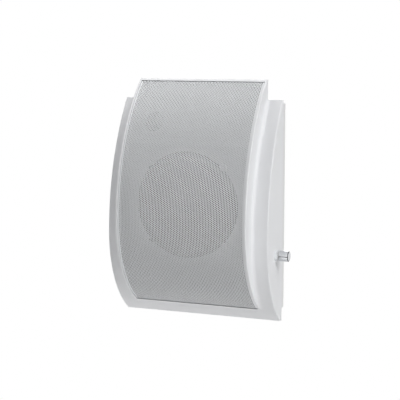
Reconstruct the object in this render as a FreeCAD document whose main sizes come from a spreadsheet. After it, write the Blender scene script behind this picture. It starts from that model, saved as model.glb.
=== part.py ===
"""Wall speaker: a moulded housing with a bowed, perforated grille, hung on a flat wall plate.

Millimetres. +Z is up, the wall is the plane Y = 0 and the front of the speaker looks towards -Y.
The origin lies on the back of the wall plate, on the middle plane, at half the overall height.
A depth is a distance from the wall, measured towards the front.
"""
import FreeCAD
import Part
import math
import os
import Sketcher

DRIVING_SIZES = {
    # Front housing, outside
    "wing_width": 192.0,
    "wing_top": 115.0,
    "housing_drop": 137.5,
    "wing_bulge": 62.0,
    "wing_bulge_drop": 40.0,
    "wing_top_edge": 2.3,
    "wing_bottom_edge": 4.0,
    "wing_edge_round": 1.5,
    "bezel_width": 155.0,
    "bezel_rise": 22.5,
    "bezel_bulge": 83.0,
    "bezel_bulge_drop": 23.0,
    "bezel_top_edge": 2.5,
    "bezel_foot_lift": 7.5,
    "bezel_foot_edge": 8.5,
    "bezel_edge_round": 0.7,
    "blend_round": 4.0,
    # Front housing, walls and grille seat
    "shell_wall": 2.5,
    "panel_wall": 3.0,
    "rim_width": 2.3,
    "ledge_width": 4.0,
    "chin_lip": 9.0,
    "grille_recess": 1.0,
    "grille_sheet": 1.0,
    "grille_gap": 0.5,
    "grille_air": 2.5,
    "bond_line": 0.1,
    # Perforation of the grille
    "hole_across": 8.6,
    "hole_margin_x": 12.8,
    "hole_margin_z": 15.6,
    # Bass port
    "port_side": 45.0,
    "port_height": 90.0,
    "port_bore": 20.0,
    "port_wall": 2.0,
    "port_length": 33.0,
    # Wall plate
    "plate_depth": 7.0,
    "plate_floor": 2.5,
    "plate_top_step": 3.2,
    "plate_bottom_step": 13.8,
    "plate_rim": 2.5,
    "plate_corner": 2.0,
    "wall_screw_hole": 5.5,
    "wall_screw_margin_x": 18.0,
    "wall_screw_margin_z": 17.75,
    "wall_boss_dia": 12.0,
    "wall_boss_height": 1.5,
    # Hooks at the top and locking screws at the bottom
    "hook_spacing": 100.0,
    "hook_width": 15.0,
    "hook_sheet": 2.9,
    "hook_reach": 11.3,
    "hook_rise": 4.0,
    "hook_web_drop": 3.3,
    "lock_spacing": 120.0,
    "lock_width": 14.0,
    "lock_lug": 2.5,
    "lock_screw_depth": 3.8,
    "lock_screw_dia": 3.0,
    "lock_screw_length": 10.0,
    "lock_head_dia": 5.5,
    "lock_head_height": 2.0,
    # Loudspeaker driver
    "driver_drop": 1.5,
    "flange_inner": 108.0,
    "flange_width": 11.0,
    "flange_margin": 1.7,
    "baffle_margin": 5.5,
    "driver_screw_inset": 3.0,
    "driver_screw_dia": 3.2,
    "driver_screw_length": 9.0,
    "driver_head_dia": 6.0,
    "driver_head_height": 2.0,
    "driver_boss_dia": 8.0,
    "driver_boss_height": 6.0,
    "gasket_thick": 2.0,
    "basket_sheet": 1.2,
    "basket_depth": 24.0,
    "spider_level": 17.0,
    "spider_seat_dia": 78.0,
    "basket_base_dia": 68.0,
    "window_margin": 3.0,
    "window_inner_width": 18.0,
    "window_outer_width": 27.0,
    "top_plate_dia": 60.0,
    "top_plate_thick": 4.0,
    "magnet_dia": 72.0,
    "magnet_bore": 32.0,
    "magnet_thick": 12.0,
    "yoke_dia": 64.0,
    "yoke_thick": 4.0,
    "pole_dia": 21.2,
    "gap_width": 2.6,
    "coil_dia": 22.6,
    "former_wall": 0.4,
    "winding_thick": 0.7,
    "winding_length": 7.0,
    "roll_width": 7.0,
    "cone_lip": 2.4,
    "cone_sheet": 0.8,
    "cone_depth": 13.5,
    "roll_sheet": 0.6,
    "roll_rim": 4.5,
    "dust_cap_dia": 30.0,
    "dust_cap_rise": 6.0,
    "spider_sheet": 0.5,
    "spider_wave": 1.6,
    "spider_rim": 3.5,
    "glue_gap": 0.15,
    "strip_width": 18.0,
    "strip_height": 7.0,
    "strip_thick": 1.6,
    "tab_width": 2.8,
    "tab_length": 8.0,
    "tab_thick": 0.8,
    "tab_spacing": 10.0,
    # Line transformer
    "trafo_side": 34.0,
    "trafo_height": 76.0,
    "trafo_pad": 4.0,
    "core_leg": 7.0,
    "core_window": 21.0,
    "core_stack": 15.0,
    "coil_clearance": 0.2,
    "coil_wall": 6.0,
    "strap_sheet": 1.0,
    "strap_width": 12.0,
    "strap_foot": 10.0,
    "trafo_screw_dia": 2.9,
    "trafo_screw_length": 5.0,
    "trafo_head_dia": 5.4,
    "trafo_head_height": 1.8,
    # Volume attenuator and knob
    "knob_depth": 30.5,
    "knob_drop": 57.6,
    "control_dia": 26.0,
    "control_length": 20.0,
    "lug_width": 2.6,
    "lug_length": 6.0,
    "lug_sheet": 0.8,
    "lug_spacing": 5.0,
    "lug_hole": 1.4,
    "lug_setback": 4.0,
    "bushing_dia": 9.0,
    "washer_dia": 14.0,
    "washer_thick": 0.8,
    "nut_across": 11.0,
    "nut_thick": 2.5,
    "bushing_spare": 0.8,
    "shaft_dia": 6.0,
    "shaft_flat": 1.0,
    "running_gap": 0.05,
    "fit_gap": 0.2,
    "knob_air": 0.6,
    "knob_dia": 12.0,
    "knob_length": 10.8,
    "knob_cap": 2.4,
    "knob_chamfer": 0.8,
    "index_width": 0.9,
    "index_groove": 0.5,
    "set_screw_dia": 3.0,
    "set_screw_length": 2.2,
    # Terminal block and cable entry
    "block_side": 42.0,
    "block_rise": 39.7,
    "block_width": 40.0,
    "block_height": 18.0,
    "block_depth": 15.0,
    "block_pad": 3.0,
    "pole_pitch": 9.0,
    "wire_bore": 4.4,
    "wire_level": 5.0,
    "clamp_screw_dia": 5.0,
    "clamp_screw_length": 5.0,
    "clamp_slot": 0.8,
    "block_screw_dia": 2.9,
    "block_screw_inset": 3.5,
    "block_grip": 2.6,
    "cable_rise": 23.7,
    "cable_hole": 16.0,
    "cable_boss": 26.0,
    "cable_boss_depth": 5.0,
    "cable_bore": 8.0,
    "grommet_flange": 2.5,
    "grommet_rear": 1.5,
}

GRILLE_COLUMNS = 9
GRILLE_ROWS = 7
BASKET_WINDOWS = 6
SPIDER_FOLDS = 9
# Distance below which two points count as one
TOUCH = 0.01


class Size:
    """A length kept together with the sheet formula that gives it."""

    def __init__(self, number, formula):
        self.number = number
        self.formula = formula

    @staticmethod
    def of(value):
        return value if isinstance(value, Size) else Size(float(value), f"({float(value)})")

    def joined(self, sign, other, number):
        return Size(number, f"({self.formula} {sign} {other.formula})")

    def __add__(self, other):
        other = Size.of(other)
        return self.joined("+", other, self.number + other.number)

    def __sub__(self, other):
        other = Size.of(other)
        return self.joined("-", other, self.number - other.number)

    def __mul__(self, other):
        other = Size.of(other)
        return self.joined("*", other, self.number * other.number)

    def __truediv__(self, other):
        other = Size.of(other)
        return self.joined("/", other, self.number / other.number)

    def __radd__(self, other):
        return Size.of(other) + self

    def __rsub__(self, other):
        return Size.of(other) - self

    def __rmul__(self, other):
        return Size.of(other) * self

    def __neg__(self):
        return Size(-self.number, f"(-{self.formula})")

    def root(self):
        return Size(math.sqrt(self.number), f"sqrt({self.formula})")


class Sheet:
    """The spreadsheet of driving sizes; every size can be read from it by name."""

    def __init__(self, document, sizes):
        sheet = document.addObject("Spreadsheet::Sheet", "Sizes")
        for row, (name, number) in enumerate(sizes.items(), start=1):
            sheet.set(f"A{row}", name)
            sheet.set(f"B{row}", str(number))
            sheet.setAlias(f"B{row}", name)
        document.recompute()
        for name in sizes:
            setattr(self, name, Size(float(getattr(sheet, name)), f"Sizes.{name}"))


class Bow:
    """A front profile of two arcs that meet, level with the wall, at their deepest point."""

    def __init__(self, bulge, level, top_depth, top, foot_depth, foot):
        self.bulge = bulge
        self.level = level
        self.upper = self.radius(bulge - top_depth, top - level)
        self.lower = self.radius(bulge - foot_depth, level - foot)

    @staticmethod
    def radius(rise, reach):
        return (reach * reach + rise * rise) / (2 * rise)

    def arc_at(self, height):
        return self.upper if height.number > self.level.number else self.lower

    def depth(self, height, inset):
        """Depth of the profile, moved inwards by inset, at a height."""
        arc = self.arc_at(height)
        inner = arc - inset
        offset = height - self.level
        return self.bulge - arc + (inner * inner - offset * offset).root()

    def height(self, depth, inset, arc):
        """Distance from the deepest level at which the inset profile has a depth."""
        inner = arc - inset
        offset = depth - self.bulge + arc
        return (inner * inner - offset * offset).root()

    def corners(self, top, foot, inset):
        """Corners of the inset profile from a height down to a lower one."""
        return [
            (-self.depth(top, inset), top, ("v", self.level)),
            (-(self.bulge - inset), self.level, ("v", self.level)),
            (-self.depth(foot, inset), foot),
        ]

    def flat_corners(self, top, foot, inset, flat):
        """The same, cut off flat at a depth."""
        above = self.level + self.height(flat, inset, self.upper)
        below = self.level - self.height(flat, inset, self.lower)
        return [
            (-self.depth(top, inset), top, ("v", self.level)),
            (-flat, above),
            (-flat, below, ("v", self.level)),
            (-self.depth(foot, inset), foot),
        ]


class Round:
    """A circle in a sketch."""

    def __init__(self, u, v, diameter):
        self.u = Size.of(u)
        self.v = Size.of(v)
        self.radius = diameter / 2


def rectangle(left, right, low, high):
    return [(left, low), (right, low), (right, high), (left, high)]


def block(u, v, width, height):
    return rectangle(u - width / 2, u + width / 2, v - height / 2, v + height / 2)


document = FreeCAD.newDocument("wall_speaker")
s = Sheet(document, DRIVING_SIZES)
sub_parts = []


def new_body(label, x=0, y=0, z=0):
    """An empty body, placed by sizes of the sheet."""
    body = document.addObject("PartDesign::Body", label)
    body.Label = label
    for axis, place in zip("xyz", (x, y, z)):
        body.setExpression(f"Placement.Base.{axis}", Size.of(place).formula)
    sub_parts.append(body)
    return body


def arc_centre(here, there, bend):
    """Centre of an arc between two points, one of whose coordinates is known."""
    axis, known = bend
    if axis == "v":
        across = there[0] ** 2 - here[0] ** 2 + (there[1] - known) ** 2 - (here[1] - known) ** 2
        return across / (2 * (there[0] - here[0])), known
    along = there[1] ** 2 - here[1] ** 2 + (there[0] - known) ** 2 - (here[0] - known) ** 2
    return known, along / (2 * (there[1] - here[1]))


def add_arc(sketch, here, there, bend):
    """The shorter arc between two points; returns its number and the ends they fall on."""
    centre = arc_centre(here, there, bend)
    start = math.atan2(here[1] - centre[1], here[0] - centre[0])
    end = math.atan2(there[1] - centre[1], there[0] - centre[0])
    forward = math.sin(end - start) > 0
    if not forward:
        start, end = end, start
    circle = Part.Circle(FreeCAD.Vector(*centre, 0), FreeCAD.Vector(0, 0, 1), math.dist(here, centre))
    number = sketch.addGeometry(Part.ArcOfCircle(circle, start, end))
    return number, (1, 2) if forward else (2, 1)


def dimension(sketch, kind, number, point, size, name):
    """A named distance from the sketch's origin, driven by the sheet."""
    index = sketch.addConstraint(Sketcher.Constraint(kind, -1, 1, number, point, size.number))
    sketch.renameConstraint(index, name)
    sketch.setExpression(f"Constraints.{name}", size.formula)


def add_loop(sketch, corners):
    """A closed outline; a corner's third item bends the side that leaves it into an arc."""
    sizes = [(Size.of(corner[0]), Size.of(corner[1])) for corner in corners]
    points = [(u.number, v.number) for u, v in sizes]
    sides = []
    for place, corner in enumerate(corners):
        here = points[place]
        there = points[(place + 1) % len(points)]
        if len(corner) > 2:
            axis, known = corner[2]
            number, ends = add_arc(sketch, here, there, (axis, Size.of(known).number))
            kind = "DistanceY" if axis == "v" else "DistanceX"
            dimension(sketch, kind, number, 3, Size.of(known), f"bend_{number}")
        else:
            line = Part.LineSegment(FreeCAD.Vector(*here, 0), FreeCAD.Vector(*there, 0))
            number, ends = sketch.addGeometry(line), (1, 2)
        sides.append((number, ends))
    for (number, ends), (next_number, next_ends) in zip(sides, sides[1:] + sides[:1]):
        sketch.addConstraint(Sketcher.Constraint("Coincident", number, ends[1], next_number, next_ends[0]))
    for (number, ends), (u, v) in zip(sides, sizes):
        dimension(sketch, "DistanceX", number, ends[0], u, f"u_{number}")
        dimension(sketch, "DistanceY", number, ends[0], v, f"v_{number}")


def add_round(sketch, shape):
    centre = FreeCAD.Vector(shape.u.number, shape.v.number, 0)
    circle = Part.Circle(centre, FreeCAD.Vector(0, 0, 1), shape.radius.number)
    number = sketch.addGeometry(circle)
    dimension(sketch, "DistanceX", number, 3, shape.u, f"u_{number}")
    dimension(sketch, "DistanceY", number, 3, shape.v, f"v_{number}")
    index = sketch.addConstraint(Sketcher.Constraint("Radius", number, shape.radius.number))
    sketch.renameConstraint(index, f"radius_{number}")
    sketch.setExpression(f"Constraints.radius_{number}", shape.radius.formula)


def new_sketch(body, name, plane, shapes, lift=0):
    """A fully dimensioned sketch on one of the body's own planes, lifted along its normal."""
    sketch = body.newObject("Sketcher::SketchObject", name)
    planes = {feature.Role: feature for feature in body.Origin.OriginFeatures}
    sketch.AttachmentSupport = [(planes[plane], "")]
    sketch.MapMode = "FlatFace"
    sketch.setExpression("AttachmentOffset.Base.z", Size.of(lift).formula)
    for shape in shapes:
        if isinstance(shape, Round):
            add_round(sketch, shape)
        else:
            add_loop(sketch, shape)
    return sketch


def swept(body, kind, sketch, length, side, reverse):
    feature = body.newObject(kind, sketch.Name + "_feature")
    feature.Profile = sketch
    feature.SideType = side
    feature.Reversed = reverse
    feature.setExpression("Length", Size.of(length).formula)
    return feature


def pad(body, sketch, length, side="One side", reverse=False):
    return swept(body, "PartDesign::Pad", sketch, length, side, reverse)


def pocket(body, sketch, length, side="One side", reverse=False):
    return swept(body, "PartDesign::Pocket", sketch, length, side, reverse)


def mirrored(body, feature, plane):
    """The same feature on the other side of one of the body's planes."""
    planes = {item.Role: item for item in body.Origin.OriginFeatures}
    copy = body.newObject("PartDesign::Mirrored", feature.Name + "_mirrored")
    copy.Originals = [feature]
    copy.MirrorPlane = (planes[plane], [""])
    body.Tip = copy
    return copy


def turned(label, corners, axis="V_Axis", **place):
    """A body turned from one outline about the vertical or horizontal sketch axis."""
    body = new_body(label, **place)
    sketch = new_sketch(body, f"{label}_outline", "XY_Plane", [corners])
    feature = body.newObject("PartDesign::Revolution", f"{label}_turned")
    feature.Profile = sketch
    feature.ReferenceAxis = (sketch, [axis])
    feature.Angle = 360
    return body


def rounded_edges(body, size, chosen):
    """A fillet on the edges of the body's last shape that a test chooses."""
    document.recompute()
    base = body.Tip
    edges = [f"Edge{number}" for number, edge in enumerate(base.Shape.Edges, start=1) if chosen(edge)]
    fillet = body.newObject("PartDesign::Fillet", "rounded")
    fillet.Base = (base, edges)
    fillet.setExpression("Radius", size.formula)
    return fillet


def group(label, shapes):
    """Like fasteners in one node, each a solid of its own."""
    feature = document.addObject("Part::Feature", label)
    feature.Label = label
    feature.Shape = Part.makeCompound(shapes)
    sub_parts.append(feature)
    return feature


def screw(seat, direction, shank_dia, length, head_dia, head_height):
    """A pan-headed screw whose head bears on its seat; direction points into the material."""
    axis = FreeCAD.Vector(*direction)
    base = FreeCAD.Vector(*[Size.of(value).number for value in seat])
    shank = Part.makeCylinder(shank_dia.number / 2, length.number, base, axis)
    head = Part.makeCylinder(head_dia.number / 2, head_height.number, base, -axis)
    top = base - axis * head_height.number
    crown = [edge for edge in head.Edges if edge.CenterOfMass.distanceToPoint(top) < TOUCH]
    head = head.makeChamfer(head_height.number / 2, crown)
    return shank.fuse(head).removeSplitter()


# Levels and depths that several pieces share
half_wing = s.wing_width / 2
half_bezel = s.bezel_width / 2
bezel_top = s.wing_top + s.bezel_rise
plate_top = s.wing_top - s.plate_top_step
plate_bottom = s.plate_bottom_step - s.housing_drop
wall_screw_side = half_wing - s.wall_screw_margin_x
wall_screw_levels = plate_bottom + s.wall_screw_margin_z, plate_top - s.wall_screw_margin_z
wall_screw_places = [(x * wall_screw_side, z) for x in (-1, 1) for z in wall_screw_levels]
room_top = plate_top - s.shell_wall
room_bottom = plate_bottom + s.shell_wall
in_front = s.bezel_bulge + s.bezel_rise
seat_inset = s.grille_recess + s.grille_sheet + s.bond_line
panel_inset = s.grille_recess + s.grille_sheet + s.grille_air
wing_bow = Bow(
    s.wing_bulge,
    -s.wing_bulge_drop,
    s.plate_depth + s.wing_top_edge,
    s.wing_top,
    s.plate_depth + s.wing_bottom_edge,
    -s.housing_drop,
)
bezel_foot = s.bezel_foot_lift - s.housing_drop
bezel_bow = Bow(
    s.bezel_bulge,
    -s.bezel_bulge_drop,
    s.plate_depth + s.bezel_top_edge,
    bezel_top,
    s.plate_depth + s.bezel_foot_edge,
    bezel_foot,
)
recess_top = bezel_top - s.rim_width
recess_foot = bezel_foot + s.chin_lip
driver_level = -s.driver_drop
throat = s.flange_inner / 2
flange_radius = throat + s.flange_width
baffle_radius = throat + s.baffle_margin
cone_rim = throat - s.roll_width
screw_offset = (flange_radius - s.driver_screw_inset) * math.sqrt(0.5)
driver_screw_places = [(x * screw_offset, z * screw_offset) for x in (-1, 1) for z in (-1, 1)]
# The driver's flat seat reaches just above its flange, and the driver's depths follow from it
flat_top = driver_level + flange_radius + s.flange_margin
seat_depth = bezel_bow.depth(flat_top, panel_inset + s.panel_wall)
baffle_depth = seat_depth + s.panel_wall
flange_front = seat_depth - s.gasket_thick
basket_rear = flange_front - s.basket_depth - s.basket_sheet
magnet_front = basket_rear - s.top_plate_thick
magnet_rear = magnet_front - s.magnet_thick
yoke_rear = magnet_rear - s.yoke_thick
gap_radius = s.pole_dia / 2 + s.gap_width
neck_radius = s.coil_dia / 2 + s.former_wall + s.glue_gap
cone_front = s.glue_gap - flange_front
neck_front = cone_front + s.cone_depth
strap_half = 3 * s.core_leg + s.strap_sheet + s.strap_foot / 2
trafo_screw_places = [s.trafo_side - strap_half, s.trafo_side + strap_half]
block_level = plate_bottom + s.block_rise
cable_level = plate_bottom + s.cable_rise
block_half = s.block_width / 2 - s.block_screw_inset
block_screw_places = [-s.block_side - block_half, -s.block_side + block_half]
nut_face = half_wing + s.washer_thick + s.nut_thick
bushing_end = nut_face + s.bushing_spare
knob_start = bushing_end + s.knob_air
knob_end = knob_start + s.knob_length
shaft_end = knob_end - s.knob_cap


def add_blend(body, name, arc, reach, reverse):
    """The hollow round where the bezel's sides rise from the wings, along one arc of the wings."""
    centre = arc - s.wing_bulge
    root = s.shell_wall / 2
    low = -s.wing_bulge
    high = low - s.blend_round
    outer = half_bezel + s.blend_round
    right = [
        (half_bezel - root, low + root),
        (outer, low + root),
        (outer, low, ("u", outer)),
        (half_bezel, high),
        (half_bezel - root, high),
    ]
    left = [(-corner[0], corner[1]) for corner in right]
    left[2] = (-outer, low, ("u", -outer))
    sketch = new_sketch(body, name, "XY_Plane", [right, left], lift=-s.wing_bulge_drop)
    ends = FreeCAD.Vector(-1, centre.number, 0), FreeCAD.Vector(1, centre.number, 0)
    axis = sketch.addGeometry(Part.LineSegment(*ends), True)
    sketch.addConstraint(Sketcher.Constraint("Horizontal", axis))
    dimension(sketch, "DistanceY", axis, 1, centre, "axis_level")
    feature = body.newObject("PartDesign::Revolution", f"{name}_turned")
    feature.Profile = sketch
    feature.ReferenceAxis = (sketch, ["Axis0"])
    feature.Reversed = reverse
    feature.setExpression("Angle", f"asin({(reach / arc).formula})")


def housing_outside(body):
    """The raised bezel, its blends and the wings with their chin."""
    flush = Size.of(0)
    bezel = [(-s.plate_depth, bezel_foot), (-s.plate_depth, bezel_top)]
    bezel += bezel_bow.corners(bezel_top, bezel_foot, flush)
    pad(body, new_sketch(body, "bezel_profile", "YZ_Plane", [bezel]), s.bezel_width, "Symmetric")
    add_blend(body, "upper_blend", wing_bow.upper, s.wing_top + s.wing_bulge_drop, True)
    add_blend(body, "lower_blend", wing_bow.lower, -recess_foot - s.wing_bulge_drop, False)
    trim = bezel_bow.corners(bezel_top, bezel_foot, flush)
    trim += [(-in_front, bezel_foot), (-in_front, bezel_top)]
    pocket(body, new_sketch(body, "blend_trim", "YZ_Plane", [trim]), s.wing_width, "Symmetric")
    wings = [(-s.plate_depth, -s.housing_drop), (-s.plate_depth, s.wing_top)]
    wings += wing_bow.corners(s.wing_top, -s.housing_drop, flush)
    pad(body, new_sketch(body, "wing_profile", "YZ_Plane", [wings]), s.wing_width, "Symmetric")

    def bowed_edge(edge, side):
        box = edge.BoundBox
        on_side = abs(abs(box.XMin) - side.number) < TOUCH and box.XLength < TOUCH
        return on_side and edge.Curve.TypeId == "Part::GeomCircle"

    def bezel_edge(edge):
        return bowed_edge(edge, half_bezel) and edge.Length > s.bezel_bulge.number

    rounded_edges(body, s.wing_edge_round, lambda edge: bowed_edge(edge, half_wing))
    rounded_edges(body, s.bezel_edge_round, bezel_edge)


def housing_inside(body):
    """The hollows behind the wings, the bezel and the two skirts, open towards the wall."""
    wing_room = [(Size.of(0), room_bottom), (Size.of(0), room_top)]
    wing_room += wing_bow.corners(room_top, room_bottom, s.shell_wall)
    sketch = new_sketch(body, "wing_room", "YZ_Plane", [wing_room], lift=half_bezel)
    mirrored(body, pocket(body, sketch, half_wing - half_bezel - s.shell_wall, reverse=True), "YZ_Plane")
    panel_rear = panel_inset + s.panel_wall
    bezel_room = [(Size.of(0), room_bottom), (Size.of(0), room_top)]
    bezel_room += bezel_bow.flat_corners(room_top, room_bottom, panel_rear, seat_depth)
    inner_width = s.bezel_width - 2 * s.shell_wall
    pocket(body, new_sketch(body, "bezel_room", "YZ_Plane", [bezel_room]), inner_width, "Symmetric")
    skirt_top = bezel_top - s.bezel_foot_edge
    top_skirt = [
        (Size.of(0), plate_top),
        (Size.of(0), skirt_top),
        (-bezel_bow.depth(skirt_top, panel_rear), skirt_top, ("v", bezel_bow.level)),
        (-bezel_bow.depth(plate_top, panel_rear), plate_top),
    ]
    pocket(body, new_sketch(body, "top_skirt", "YZ_Plane", [top_skirt]), inner_width, "Symmetric")
    skirt_bottom = s.shell_wall - s.housing_drop
    bottom_skirt = [
        (Size.of(0), skirt_bottom),
        (Size.of(0), plate_bottom),
        (-wing_bow.depth(plate_bottom, s.shell_wall), plate_bottom, ("v", wing_bow.level)),
        (-wing_bow.depth(skirt_bottom, s.shell_wall), skirt_bottom),
    ]
    outer_width = s.wing_width - 2 * s.shell_wall
    pocket(body, new_sketch(body, "bottom_skirt", "YZ_Plane", [bottom_skirt]), outer_width, "Symmetric")


def housing_front(body):
    """The bass port, the grille's recess and ledge, and the flat baffle with the driver's hole."""
    port_dia = s.port_bore + 2 * s.port_wall
    port_front = bezel_bow.depth(s.port_height - port_dia / 2, panel_inset)
    duct = [Round(-s.port_side, s.port_height, port_dia)]
    sketch = new_sketch(body, "port_duct", "XZ_Plane", duct, lift=port_front - s.port_length)
    pad(body, sketch, s.port_length)
    recess = bezel_bow.corners(recess_top, recess_foot, seat_inset)
    recess += [(-in_front, recess_foot), (-in_front, recess_top)]
    sketch = new_sketch(body, "grille_recess", "YZ_Plane", [recess])
    pocket(body, sketch, s.bezel_width - 2 * s.rim_width, "Symmetric")
    panel_top = recess_top - s.ledge_width
    panel_foot = recess_foot + s.ledge_width
    panel = bezel_bow.flat_corners(panel_top, panel_foot, panel_inset, baffle_depth)
    panel += [(-in_front, panel_foot), (-in_front, panel_top)]
    sketch = new_sketch(body, "panel_recess", "YZ_Plane", [panel])
    pocket(body, sketch, s.bezel_width - 2 * (s.rim_width + s.ledge_width), "Symmetric")
    holes = [Round(0, driver_level, 2 * baffle_radius)]
    pocket(body, new_sketch(body, "driver_hole", "XZ_Plane", holes), 2 * in_front, "Symmetric")
    holes = [Round(-s.port_side, s.port_height, s.port_bore)]
    pocket(body, new_sketch(body, "port_hole", "XZ_Plane", holes), 2 * in_front, "Symmetric")
    bosses = [Round(x, driver_level + z, s.driver_boss_dia) for x, z in driver_screw_places]
    pad(body, new_sketch(body, "driver_bosses", "XZ_Plane", bosses, lift=baffle_depth), s.driver_boss_height)
    pilots = [Round(x, driver_level + z, s.driver_screw_dia + s.running_gap) for x, z in driver_screw_places]
    sketch = new_sketch(body, "driver_pilots", "XZ_Plane", pilots, lift=seat_depth)
    pocket(body, sketch, s.driver_screw_length - s.gasket_thick, reverse=True)


def housing_fixings(body):
    """The control's hole and window, the hook slots and the lugs of the locking screws."""
    hole = [Round(-s.knob_depth, -s.knob_drop, s.bushing_dia + s.fit_gap)]
    sketch = new_sketch(body, "control_hole", "YZ_Plane", hole, lift=half_wing)
    pocket(body, sketch, 2 * s.shell_wall)
    room = s.control_dia + 2 * s.shell_wall
    window = [block(-s.knob_depth, -s.knob_drop, room, room)]
    sketch = new_sketch(body, "control_window", "YZ_Plane", window, lift=half_bezel)
    pocket(body, sketch, 2 * s.shell_wall)
    slot_depth = -(s.hook_reach + s.hook_sheet / 2)
    slots = []
    for side in (-1, 1):
        across = s.hook_width + 2 * s.fit_gap
        slots.append(block(side * s.hook_spacing / 2, slot_depth, across, s.hook_sheet + 2 * s.fit_gap))
    sketch = new_sketch(body, "hook_slots", "XY_Plane", slots, lift=plate_top)
    pocket(body, sketch, s.shell_wall)
    lug_top = plate_bottom - s.fit_gap
    lug_bottom = lug_top - s.lock_lug
    lug_front = s.plate_depth + 2 * s.lock_screw_depth
    lug = [
        (-s.running_gap - s.fit_gap, lug_bottom),
        (-s.running_gap - s.fit_gap, lug_top),
        (-s.plate_depth - s.fit_gap, lug_top),
        (-s.plate_depth - s.fit_gap, plate_bottom + s.shell_wall / 2),
        (-lug_front, plate_bottom + s.shell_wall / 2),
        (-lug_front, lug_bottom),
    ]
    sketch = new_sketch(body, "lock_lug", "YZ_Plane", [lug], lift=s.lock_spacing / 2 - s.lock_width / 2)
    mirrored(body, pad(body, sketch, s.lock_width), "YZ_Plane")
    holes = [Round(side * s.lock_spacing / 2, -s.lock_screw_depth, s.lock_screw_dia + s.fit_gap)
             for side in (-1, 1)]
    pocket(body, new_sketch(body, "lock_holes", "XY_Plane", holes, lift=lug_top), s.lock_lug)


def front_housing():
    """One moulding: wings and chin, raised bezel, grille seat, baffle, port and fixing points."""
    body = new_body("front_housing")
    housing_outside(body)
    housing_inside(body)
    housing_front(body)
    housing_fixings(body)


def wall_plate():
    """A shallow tray with a rim that the housing's rear edge meets."""
    body = new_body("wall_plate")
    outline = rectangle(-half_wing, half_wing, plate_bottom, plate_top)
    pad(body, new_sketch(body, "plate_outline", "XZ_Plane", [outline]), s.plate_depth)

    def corner_edge(edge):
        return edge.BoundBox.YLength > s.plate_depth.number - TOUCH

    rounded_edges(body, s.plate_corner, corner_edge)
    tray = rectangle(
        s.plate_rim - half_wing, half_wing - s.plate_rim, plate_bottom + s.plate_rim, plate_top - s.plate_rim
    )
    sketch = new_sketch(body, "plate_tray", "XZ_Plane", [tray], lift=s.plate_depth)
    pocket(body, sketch, s.plate_depth - s.plate_floor)
    plate_pads(body)
    plate_hooks(body)
    plate_holes(body)


def plate_pads(body):
    """Raised pads and bosses for what the plate carries and for its screws and cable."""
    bosses = [Round(x, z, s.wall_boss_dia) for x, z in wall_screw_places]
    sketch = new_sketch(body, "wall_bosses", "XZ_Plane", bosses, lift=s.plate_floor)
    pad(body, sketch, s.wall_boss_height)
    pad_length = 2 * (strap_half + s.strap_foot / 2)
    trafo = block(s.trafo_side, s.trafo_height, pad_length, s.core_stack)
    pad(body, new_sketch(body, "trafo_pad", "XZ_Plane", [trafo], lift=s.plate_floor), s.trafo_pad)
    terminal = block(-s.block_side, block_level, s.block_width, s.block_height)
    pad(body, new_sketch(body, "block_pad", "XZ_Plane", [terminal], lift=s.plate_floor), s.block_pad)
    boss = [Round(0, cable_level, s.cable_boss)]
    sketch = new_sketch(body, "cable_boss", "XZ_Plane", boss, lift=s.plate_floor)
    pad(body, sketch, s.cable_boss_depth - s.plate_floor)
    lock_top = plate_bottom + s.lock_screw_length + s.plate_rim
    locks = [
        rectangle(
            side * s.lock_spacing / 2 - s.lock_width / 2, side * s.lock_spacing / 2 + s.lock_width / 2,
            plate_bottom + s.plate_rim / 2, lock_top,
        )
        for side in (-1, 1)
    ]
    sketch = new_sketch(body, "lock_bosses", "XZ_Plane", locks, lift=s.plate_floor)
    pad(body, sketch, s.plate_depth - s.plate_floor)


def plate_hooks(body):
    """Two hooks that rise through slots in the housing's upper rib."""
    web_top = room_top - s.hook_web_drop
    nib_top = plate_top + s.hook_rise
    nib_front = s.hook_reach + s.hook_sheet
    hook = [
        (-s.plate_floor / 2, web_top - s.hook_sheet),
        (-s.plate_floor / 2, web_top),
        (-s.hook_reach, web_top),
        (-s.hook_reach, nib_top),
        (-nib_front, nib_top),
        (-nib_front, web_top - s.hook_sheet),
    ]
    sketch = new_sketch(body, "hook", "YZ_Plane", [hook], lift=s.hook_spacing / 2 - s.hook_width / 2)
    mirrored(body, pad(body, sketch, s.hook_width), "YZ_Plane")


def plate_holes(body):
    """Holes for wall screws, the cable and the screws of what the plate carries."""
    through = 2 * s.plate_depth
    screws = [Round(x, z, s.wall_screw_hole) for x, z in wall_screw_places]
    pocket(body, new_sketch(body, "wall_holes", "XZ_Plane", screws), through, "Symmetric")
    hole = [Round(0, cable_level, s.cable_hole)]
    pocket(body, new_sketch(body, "cable_opening", "XZ_Plane", hole), through, "Symmetric")
    seat = [Round(0, cable_level, s.cable_hole + 2 * s.grommet_flange)]
    sketch = new_sketch(body, "grommet_seat", "XZ_Plane", seat)
    pocket(body, sketch, s.grommet_rear, reverse=True)
    pilots = [Round(x, s.trafo_height, s.trafo_screw_dia + s.running_gap) for x in trafo_screw_places]
    sketch = new_sketch(body, "trafo_pilots", "XZ_Plane", pilots, lift=s.plate_floor + s.trafo_pad)
    pocket(body, sketch, s.trafo_screw_length)
    pilots = [Round(x, block_level, s.block_screw_dia + s.running_gap) for x in block_screw_places]
    sketch = new_sketch(body, "block_pilots", "XZ_Plane", pilots, lift=s.plate_floor + s.block_pad)
    pocket(body, sketch, s.block_pad)
    pilots = [Round(side * s.lock_spacing / 2, -s.lock_screw_depth, s.lock_screw_dia + s.running_gap)
              for side in (-1, 1)]
    sketch = new_sketch(body, "lock_pilots", "XY_Plane", pilots, lift=plate_bottom)
    pocket(body, sketch, s.lock_screw_length, reverse=True)


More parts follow.
